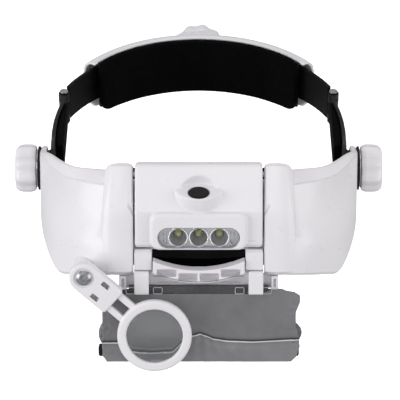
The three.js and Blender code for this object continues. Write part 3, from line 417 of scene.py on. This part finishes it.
# ---------------------------------------------------------------- mesh helpers
def new_piece(name, mesh_data, material, body, frame_matrix=None):
    """Object from a (vertices, faces) pair or a bmesh, given in metres."""
    mesh = bpy.data.meshes.new(name)
    if isinstance(mesh_data, bmesh.types.BMesh):
        mesh_data.to_mesh(mesh)
        mesh_data.free()
    else:
        mesh.from_pydata(mesh_data[0], [], mesh_data[1])
    if frame_matrix:
        mesh.transform(frame_matrix)
    mesh.validate()
    mesh.update()
    for polygon in mesh.polygons:
        polygon.use_smooth = True
    mesh.materials.append(material)
    piece = bpy.data.objects.new(name, mesh)
    scene.collection.objects.link(piece)
    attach(piece, body)
    return piece


def outward(mesh_bm):
    """The same bmesh with its faces turned outward."""
    bmesh.ops.recalc_face_normals(mesh_bm, faces=mesh_bm.faces)
    return mesh_bm


def apply_modifiers(piece):
    """Replaces a piece's mesh with the result of its modifiers."""
    graph = bpy.context.evaluated_depsgraph_get()
    baked = bpy.data.meshes.new_from_object(piece.evaluated_get(graph))
    piece.modifiers.clear()
    old = piece.data
    piece.data = baked
    bpy.data.meshes.remove(old)


def soften(node, voxel, rounds):
    """Moulded edges for a CAD node: an even skin over its own shape, then a light smoothing.

    voxel is the size of the skin's cells in millimetres."""
    piece = NODES[node]
    weld = piece.modifiers.new("weld", "WELD")
    weld.merge_threshold = 0.04 * MM
    skin = piece.modifiers.new("skin", "REMESH")
    skin.mode = "VOXEL"
    skin.voxel_size = voxel * MM
    skin.use_smooth_shade = True
    ease = piece.modifiers.new("ease", "SMOOTH")
    ease.factor = 0.5
    ease.iterations = rounds


def smooth_faces(node):
    """Moulded look for a CAD node whose faces are already fine: one mesh, sharp only at true edges."""
    piece = NODES[node]
    weld = piece.modifiers.new("weld", "WELD")
    weld.merge_threshold = 0.02 * MM
    for polygon in piece.data.polygons:
        polygon.use_smooth = True
    split = piece.modifiers.new("split", "EDGE_SPLIT")
    split.split_angle = math.radians(32)


def torus(major, minor, centre, around=56, across=12):
    """Ring about the Y axis through centre, as a bmesh."""
    ring = bmesh.new()
    loops = []
    for i in range(around):
        a = 2 * math.pi * i / around
        loop = []
        for j in range(across):
            b = 2 * math.pi * j / across
            r = major + minor * math.cos(b)
            loop.append(ring.verts.new((centre[0] + r * math.cos(a), centre[1] + minor * math.sin(b),
                                        centre[2] + r * math.sin(a))))
        loops.append(loop)
    for i in range(around):
        for j in range(across):
            here, there, after = loops[i], loops[(i + 1) % around], (j + 1) % across
            ring.faces.new((here[j], there[j], there[after], here[after]))
    return outward(ring)


def local_box(node):
    """Lowest and highest corners of a visor node in the visor's own frame."""
    points = [TO_VISOR @ v.co for v in NODES[node].data.vertices]
    low = Vector([min(p[k] for p in points) for k in range(3)])
    high = Vector([max(p[k] for p in points) for k in range(3)])
    return low, high


# ---------------------------------------------------------------- moulded and metal parts kept from the CAD
SKINS = {      # node: (cell in millimetres, rounds of smoothing)
    "lamp_housing": (0.35, 8), "rear_shell": (0.5, 9), "rear_dial": (0.3, 9),
    "left_side_knob": (0.32, 8), "right_side_knob": (0.32, 8),
    "left_temple_arm": (0.4, 7), "right_temple_arm": (0.4, 7),
    "loupe_ring": (0.3, 6), "loupe_holder": (0.28, 5), "loupe_screw": (0.12, 1),
    "lens_rail": (0.3, 4), "left_rail_bracket": (0.25, 5), "right_rail_bracket": (0.25, 5),
    "left_lens_clip": (0.2, 4), "right_lens_clip": (0.2, 4), "power_button": (0.2, 5),
    "lamp_reflector": (0.18, 10), "cross_member": (0.5, 4),
    "left_hinge_pin": (0.2, 4), "right_hinge_pin": (0.2, 4),
    "left_pivot_bolt": (0.25, 3), "right_pivot_bolt": (0.25, 3),
    "led_left": (0.1, 5), "led_centre": (0.1, 5), "led_right": (0.1, 5),
}
FINISHES = {      # nodes whose look differs from their material slot
    "left_strap": "webbing", "right_strap": "webbing",
    "lens_plate_front": "smoked_plate", "lens_plate_rear": "smoked_plate",
    "lamp_reflector": "reflector_silver", "loupe_screw": "screw_steel",
    "left_hinge_pin": "screw_steel", "right_hinge_pin": "screw_steel",
    "left_lamp_pivot": "screw_steel", "right_lamp_pivot": "screw_steel",
}


def dress_cad_nodes(materials):
    """Gives every CAD node its material and softened edges."""
    slots = {part["node"]: part["material_slot"] for part in frame["record"]["subparts"]}
    for name, piece in NODES.items():
        material = materials[FINISHES.get(name, slots[name])]
        if not piece.data.materials:
            piece.data.materials.append(material)
        for slot in piece.material_slots:
            slot.material = material
        if name.endswith("visor_wing"):
            smooth_faces(name)
        elif name in SKINS:
            soften(name, *SKINS[name])
        else:
            edge = piece.modifiers.new("edge", "BEVEL")
            edge.width = 0.15 * MM
            edge.segments = 2
            edge.limit_method = "ANGLE"
            edge.angle_limit = math.radians(35)


# ---------------------------------------------------------------- pads
GLUE_DEPTH = 0.2 * MM      # pad points this close to the backing stay glued to it


def pad_shell(section, turns, columns, rows, depth_rows=3):
    """Closed pad mesh: section(a, t, s) gives a point for the angle a, height share t and depth share s."""
    shell = bmesh.new()
    grid = {}
    for i in range(columns + 1):
        a = turns[0] + (turns[1] - turns[0]) * i / columns
        for j in range(rows + 1):
            for k in range(depth_rows + 1):
                if i in (0, columns) or j in (0, rows) or k in (0, depth_rows):
                    grid[i, j, k] = shell.verts.new(section(a, j / rows, k / depth_rows))

    def quad(*keys):
        shell.faces.new([grid[key] for key in keys])

    for i in range(columns):
        for j in range(rows):
            quad((i, j, 0), (i + 1, j, 0), (i + 1, j + 1, 0), (i, j + 1, 0))
            quad((i, j, depth_rows), (i, j + 1, depth_rows), (i + 1, j + 1, depth_rows),
                 (i + 1, j, depth_rows))
    for k in range(depth_rows):
        for i in range(columns):
            quad((i, 0, k), (i, 0, k + 1), (i + 1, 0, k + 1), (i + 1, 0, k))
            quad((i, rows, k), (i + 1, rows, k), (i + 1, rows, k + 1), (i, rows, k + 1))
        for j in range(rows):
            quad((0, j, k), (0, j + 1, k), (0, j + 1, k + 1), (0, j, k + 1))
            quad((columns, j, k), (columns, j, k + 1), (columns, j + 1, k + 1), (columns, j + 1, k))
    return outward(shell)


def inflate(piece, cap, pinned):
    """Swells a closed pad under gentle pressure: pinned points stay, and no point moves more than cap."""
    frames = 18
    start = [v.co.copy() for v in piece.data.vertices]
    group = piece.vertex_groups.new(name="glued")
    group.add([i for i, p in enumerate(start) if pinned(p)], 1.0, "REPLACE")
    cloth = piece.modifiers.new("cloth", "CLOTH")
    cloth.settings.use_pressure = True
    cloth.settings.uniform_pressure_force = 4
    cloth.settings.effector_weights.gravity = 0
    cloth.settings.vertex_group_mass = "glued"
    cloth.settings.quality = 5
    cloth.settings.tension_stiffness = 12
    cloth.settings.compression_stiffness = 12
    cloth.settings.bending_stiffness = 0.6
    cloth.collision_settings.use_collision = False
    for number in range(1, frames + 1):
        scene.frame_set(number)
    graph = bpy.context.evaluated_depsgraph_get()
    swollen = [v.co.copy() for v in piece.evaluated_get(graph).data.vertices]
    piece.modifiers.clear()
    piece.vertex_groups.clear()
    for vertex, old, new in zip(piece.data.vertices, start, swollen):
        step = new - old
        if step.length > cap:
            step = step.normalized() * cap
        vertex.co = old + step
    piece.data.update()
    scene.frame_set(1)


def subdivide(piece):
    """Rounds a piece with a subdivision surface, applied at once."""
    finer = piece.modifiers.new("finer", "SUBSURF")
    finer.levels = finer.render_levels = 1
    apply_modifiers(piece)
    for polygon in piece.data.polygons:
        polygon.use_smooth = True


def rounded_half(half, corner, distance):
    """Half height of an outline with rounded ends, at a distance from its end."""
    if distance >= corner:
        return half
    return half - corner + math.sqrt(max(corner ** 2 - (corner - distance) ** 2, 0))


def pad_section(centre_y, facing, outer, inner, edge, middle, half, corner, drawn_in):
    """Section for pad_shell: an arc about centre_y, facing +1 or -1 along Y, with rounded ends.

    Its open rim is drawn in by up to drawn_in."""
    def section(a, t, s):
        h = rounded_half(half, corner, (edge - abs(a)) * outer)
        r = outer + (inner - outer) * s
        pull = drawn_in * s * (abs(2 * t - 1) ** 6)
        z = middle + (2 * t - 1) * (h - pull)
        return (r * math.sin(a), centre_y + facing * r * math.cos(a), z)

    return section


def rear_pad(materials):
    """Swollen foam cover on the rear shell."""
    low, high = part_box("rear_pad")
    centre_y, outer, inner = 39.3 * MM, 80.9 * MM, 77.6 * MM
    edge = math.asin(high.x / outer)
    half = (high.z - low.z) / 2 - 0.3 * MM
    section = pad_section(centre_y, 1, outer, inner, edge, 0, half, corner=7 * MM, drawn_in=0.6 * MM)
    piece = new_piece("rear_pad_cover", pad_shell(section, (-edge, edge), 60, 18), materials["black_foam"],
                      "shell")
    inflate(piece, 2.6 * MM, lambda p: math.hypot(p.x, p.y - centre_y) > outer - GLUE_DEPTH)
    subdivide(piece)
    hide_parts("rear_pad")


def forehead_pad(materials):
    """Swollen foam cover on the forehead plate, tilted with the visor."""
    centre_y, outer, inner = 10 * MM, 84.4 * MM, 78.4 * MM
    low, high = local_box("forehead_pad")
    edge = math.asin(high.x / outer)
    middle, half = (low.z + high.z) / 2, (high.z - low.z) / 2 - 0.4 * MM
    section = pad_section(centre_y, -1, outer, inner, edge, middle, half, corner=9 * MM, drawn_in=1.0 * MM)
    piece = new_piece("forehead_pad_cover", pad_shell(section, (-edge, edge), 44, 26),
                      materials["black_foam"], "visor", VISOR)
    inflate(piece, 3.0 * MM,
            lambda p: math.hypot(p.x, (TO_VISOR @ p).y - centre_y) > outer - GLUE_DEPTH)
    subdivide(piece)
    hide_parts("forehead_pad")


def arm_linings(materials):
    """Thin foam lining on the inside of each temple arm, thicker in front."""
    for side in ("left", "right"):
        node = f"{side}_arm_lining"
        copy = bmesh.new()
        copy.from_mesh(NODES[node].data)
        bmesh.ops.remove_doubles(copy, verts=copy.verts, dist=0.01 * MM)
        piece = new_piece(f"{side}_lining_cover", copy, materials["black_foam"], "headband")
        skin = piece.modifiers.new("skin", "REMESH")
        skin.mode, skin.voxel_size = "VOXEL", 0.7 * MM
        ease = piece.modifiers.new("ease", "SMOOTH")
        ease.factor, ease.iterations = 0.5, 14
        apply_modifiers(piece)
        subdivide(piece)
        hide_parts(node)


# ---------------------------------------------------------------- protective film
def along(points, t):
    """Straight-line reading of a list of (position, value) pairs."""
    points = sorted(points)
    if t <= points[0][0]:
        return points[0][1]
    for (a, va), (b, vb) in zip(points, points[1:]):
        if t <= b:
            return va + (vb - va) * (t - a) / (b - a)
    return points[-1][1]


def film_depth(x, z):
    """How far the film stands proud of the plate, in millimetres, with its long crease and loose folds."""
    ridge_high, ridge_wide = 1.1, 1.2
    valley_deep, valley_below, valley_wide = 0.7, 2.6, 1.7
    belly_high, belly_span = 0.9, 41
    crinkle_from, crinkle_run, crinkle_high = 46, 8, 1.5
    fan_high, fan_x, fan_wide, fan_root = 0.35, 4, 14, 2
    crease = along(FOLD, x)
    off, up = z - crease, z - FILM_BOTTOM
    ridge = ridge_high * math.exp(-abs(off) / ridge_wide) * (0.75 + 0.35 * math.sin(0.21 * x + 0.6))
    valley = -valley_deep * math.exp(-((off + valley_below) / valley_wide) ** 2)
    belly = belly_high * math.sin(math.pi * min(max(up / belly_span, 0), 1)) * math.cos(0.024 * x)
    slow = 0.55 * noise.noise(Vector((x * 0.05, z * 0.07, 2.3)))
    edge = max(abs(x) - crinkle_from, 0) / crinkle_run
    crinkle = edge * crinkle_high * noise.noise(Vector((x * 0.35, z * 0.42, 7.1)))
    fan = 0.0
    if z < crease:
        pleats = math.sin(0.55 * (x - fan_root) + 0.06 * up * (x - fan_root))
        fan = fan_high * pleats * math.exp(-((x - fan_x) / fan_wide) ** 2)
    return ridge + valley + belly + slow + crinkle + fan


def lens_film(materials):
    """The creased film in front of the lens plates, its lower edge turned back a little."""
    columns, rows = 190, 90
    stand_off, flattened, deepest, turned_back = 0.05, 0.62, -0.15, 0.5
    rim_ragged, rim_run = 0.3, 8
    back_y = local_box("lens_film")[1].y / MM
    sheet = bmesh.new()
    grid = []
    for j in range(rows + 1):
        t = j / rows
        row = []
        for i in range(columns + 1):
            s = i / columns
            top = along(FILM_TOP, FILM_START + FILM_WIDE * s)
            z = top + (FILM_FOOT - top) * t
            left, right = along(FILM_LEFT, z), along(FILM_RIGHT, z)
            rim = rim_ragged * noise.noise(Vector((0, z * 0.32, 4)))
            x = left - rim * (1 - s) ** rim_run + (right + rim - left) * s
            y = back_y - stand_off - max(film_depth(x, z), deepest) * flattened
            lip = turned_back * math.exp(-(1 - t) * rows / 2.0)
            row.append(sheet.verts.new((x * MM, (y + lip) * MM, z * MM)))
        grid.append(row)
    for j in range(rows):
        for i in range(columns):
            sheet.faces.new((grid[j][i], grid[j + 1][i], grid[j + 1][i + 1], grid[j][i + 1]))
    piece = new_piece("protective_film", sheet, materials["grey_film"], "visor", VISOR)
    thick = piece.modifiers.new("thick", "SOLIDIFY")
    thick.thickness, thick.offset = 0.12 * MM, 0
    apply_modifiers(piece)
    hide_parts("lens_film")


def film_tails(materials):
    """Crumpled corners of the film that stick out past the plate's side edges."""
    rows, columns = 26, 8
    inner, front, thickness = 50.5, -97.9, 0.12
    for name, side, reach, low, high in (("left", -1, 54.8, -73.5, -58.5), ("right", 1, 56.4, -72.0, -59.0)):
        crumple = bmesh.new()
        for face in (0, 1):
            grid = []
            for j in range(rows + 1):
                z = low + (high - low) * j / rows
                swell = abs(math.sin(math.pi * j / rows)) ** 0.5
                row = []
                for i in range(columns + 1):
                    x = inner + (reach - inner) * swell * i / columns
                    fold = 0.8 * noise.noise(Vector((x * 0.9, z * 0.8, 3.0 + side)))
                    off_edge = 0 < i < columns and 0 < j < rows
                    y = front + fold - (thickness if face and off_edge else 0)
                    row.append(crumple.verts.new((side * x * MM, y * MM, z * MM)))
                grid.append(row)
            for j in range(rows):
                for i in range(columns):
                    crumple.faces.new((grid[j][i], grid[j + 1][i], grid[j + 1][i + 1], grid[j][i + 1]))
        bmesh.ops.remove_doubles(crumple, verts=crumple.verts, dist=1e-7)
        new_piece(f"film_tail_{name}", outward(crumple), materials["loose_film"], "visor", VISOR)


# ---------------------------------------------------------------- small details
def lamp_details(materials):
    """Bright rims round the three cups and the two ribs and posts at each end of the reflector."""
    low, high = local_box("lamp_reflector")
    face = low.y - 0.05 * MM
    middle = (low.z + high.z) / 2
    pitch, rim, rim_thick = 11.2 * MM, 5.05 * MM, 0.32 * MM
    bar_wide, bar_deep, post, post_x, post_drop = 0.35 * MM, 0.6 * MM, 0.75 * MM, 17.6 * MM, 3.6 * MM
    for k, name in enumerate(("left", "centre", "right")):
        ring = torus(rim, rim_thick, ((k - 1) * pitch, face, middle))
        new_piece(f"cup_rim_{name}", ring, materials["bright_chrome"], "lamp", VISOR)
    for side, name in ((-1, "left"), (1, "right")):
        bars = bmesh.new()
        for x, height in ((17.4, 7.4), (19.2, 5.4)):
            size = Matrix.Diagonal((bar_wide, bar_deep, height * MM, 1))
            place = Matrix.Translation((side * x * MM, face, middle))
            bmesh.ops.create_cube(bars, size=1.0, matrix=place @ size)
        bmesh.ops.bevel(bars, geom=bars.edges[:], offset=0.09 * MM, segments=2, affect="EDGES")
        place = Matrix.Translation((side * post_x, face - 0.1 * MM, middle - post_drop))
        bmesh.ops.create_uvsphere(bars, u_segments=20, v_segments=12, radius=post, matrix=place)
        new_piece(f"reflector_ribs_{name}", bars, materials["chrome"], "lamp", VISOR)


def tube(path, radius, closed=False, across=8):
    """Round bar along a list of points in one upright plane, as a bmesh."""
    bar = bmesh.new()
    forward = Vector((0, 1, 0))
    loops = []
    count = len(path)
    for i, point in enumerate(path):
        before = path[i - 1] if i or closed else point
        after = path[(i + 1) % count] if i + 1 < count or closed else point
        run = (Vector(after) - Vector(before)).normalized()
        side = run.cross(forward).normalized()
        turns = [2 * math.pi * j / across for j in range(across)]
        loops.append([bar.verts.new(Vector(point) + radius * (math.cos(b) * side + math.sin(b) * forward))
                      for b in turns])
    for i in range(count if closed else count - 1):
        here, there = loops[i], loops[(i + 1) % count]
        for j in range(across):
            bar.faces.new((here[j], there[j], there[(j + 1) % across], here[(j + 1) % across]))
    if not closed:
        bar.faces.new(loops[0])
        bar.faces.new(loops[-1])
    return outward(bar)


def rail_details(materials):
    """Dark line of painted shade along the bottoms of the rail's pockets, and clear loops on the lens plate's
    upper edge.
    """
    shade_half, shade_y, shade_z, dip, dip_half, steps = 24.6, -99.5, -35.9, 3.4, 20, 40
    pocket_shade_line = []
    for k in range(steps + 1):
        x = -shade_half + 2 * shade_half * k / steps
        pocket_shade_line.append((x * MM, shade_y * MM, (shade_z + dip * (min(abs(x), dip_half) / dip_half) ** 2) * MM))
    # A dark grey tube of painted shade along the bottoms of the rail's pockets.
    new_piece("rail_pocket_shade", tube(pocket_shade_line, 0.2 * MM), materials["pocket_shade_grey"], "visor", VISOR)
    half_wide, low, high, corner, loop_y = 2.4, -43.2, -39.6, 0.7, -98.1
    flat = half_wide - corner
    corners = ((flat, high - corner, 0), (-flat, high - corner, 90),
               (-flat, low + corner, 180), (flat, low + corner, 270))
    for x, name in ((-37.2, "outer_left"), (-22.3, "inner_left"), (22.3, "inner_right"),
                    (37.2, "outer_right")):
        loop = []
        for cx, cz, start in corners:
            for step in range(4):
                a = math.radians(start + 30 * step)
                loop.append(((x + cx + corner * math.cos(a)) * MM, loop_y * MM,
                             (cz + corner * math.sin(a)) * MM))
        new_piece(f"plate_loop_{name}", tube(loop, 0.22 * MM, closed=True), materials["clear_edge"], "visor",
                  VISOR)


materials = make_materials()
make_camera()
make_studio()
dress_cad_nodes(materials)
rear_pad(materials)
forehead_pad(materials)
arm_linings(materials)
lens_film(materials)
film_tails(materials)
lamp_details(materials)
rail_details(materials)
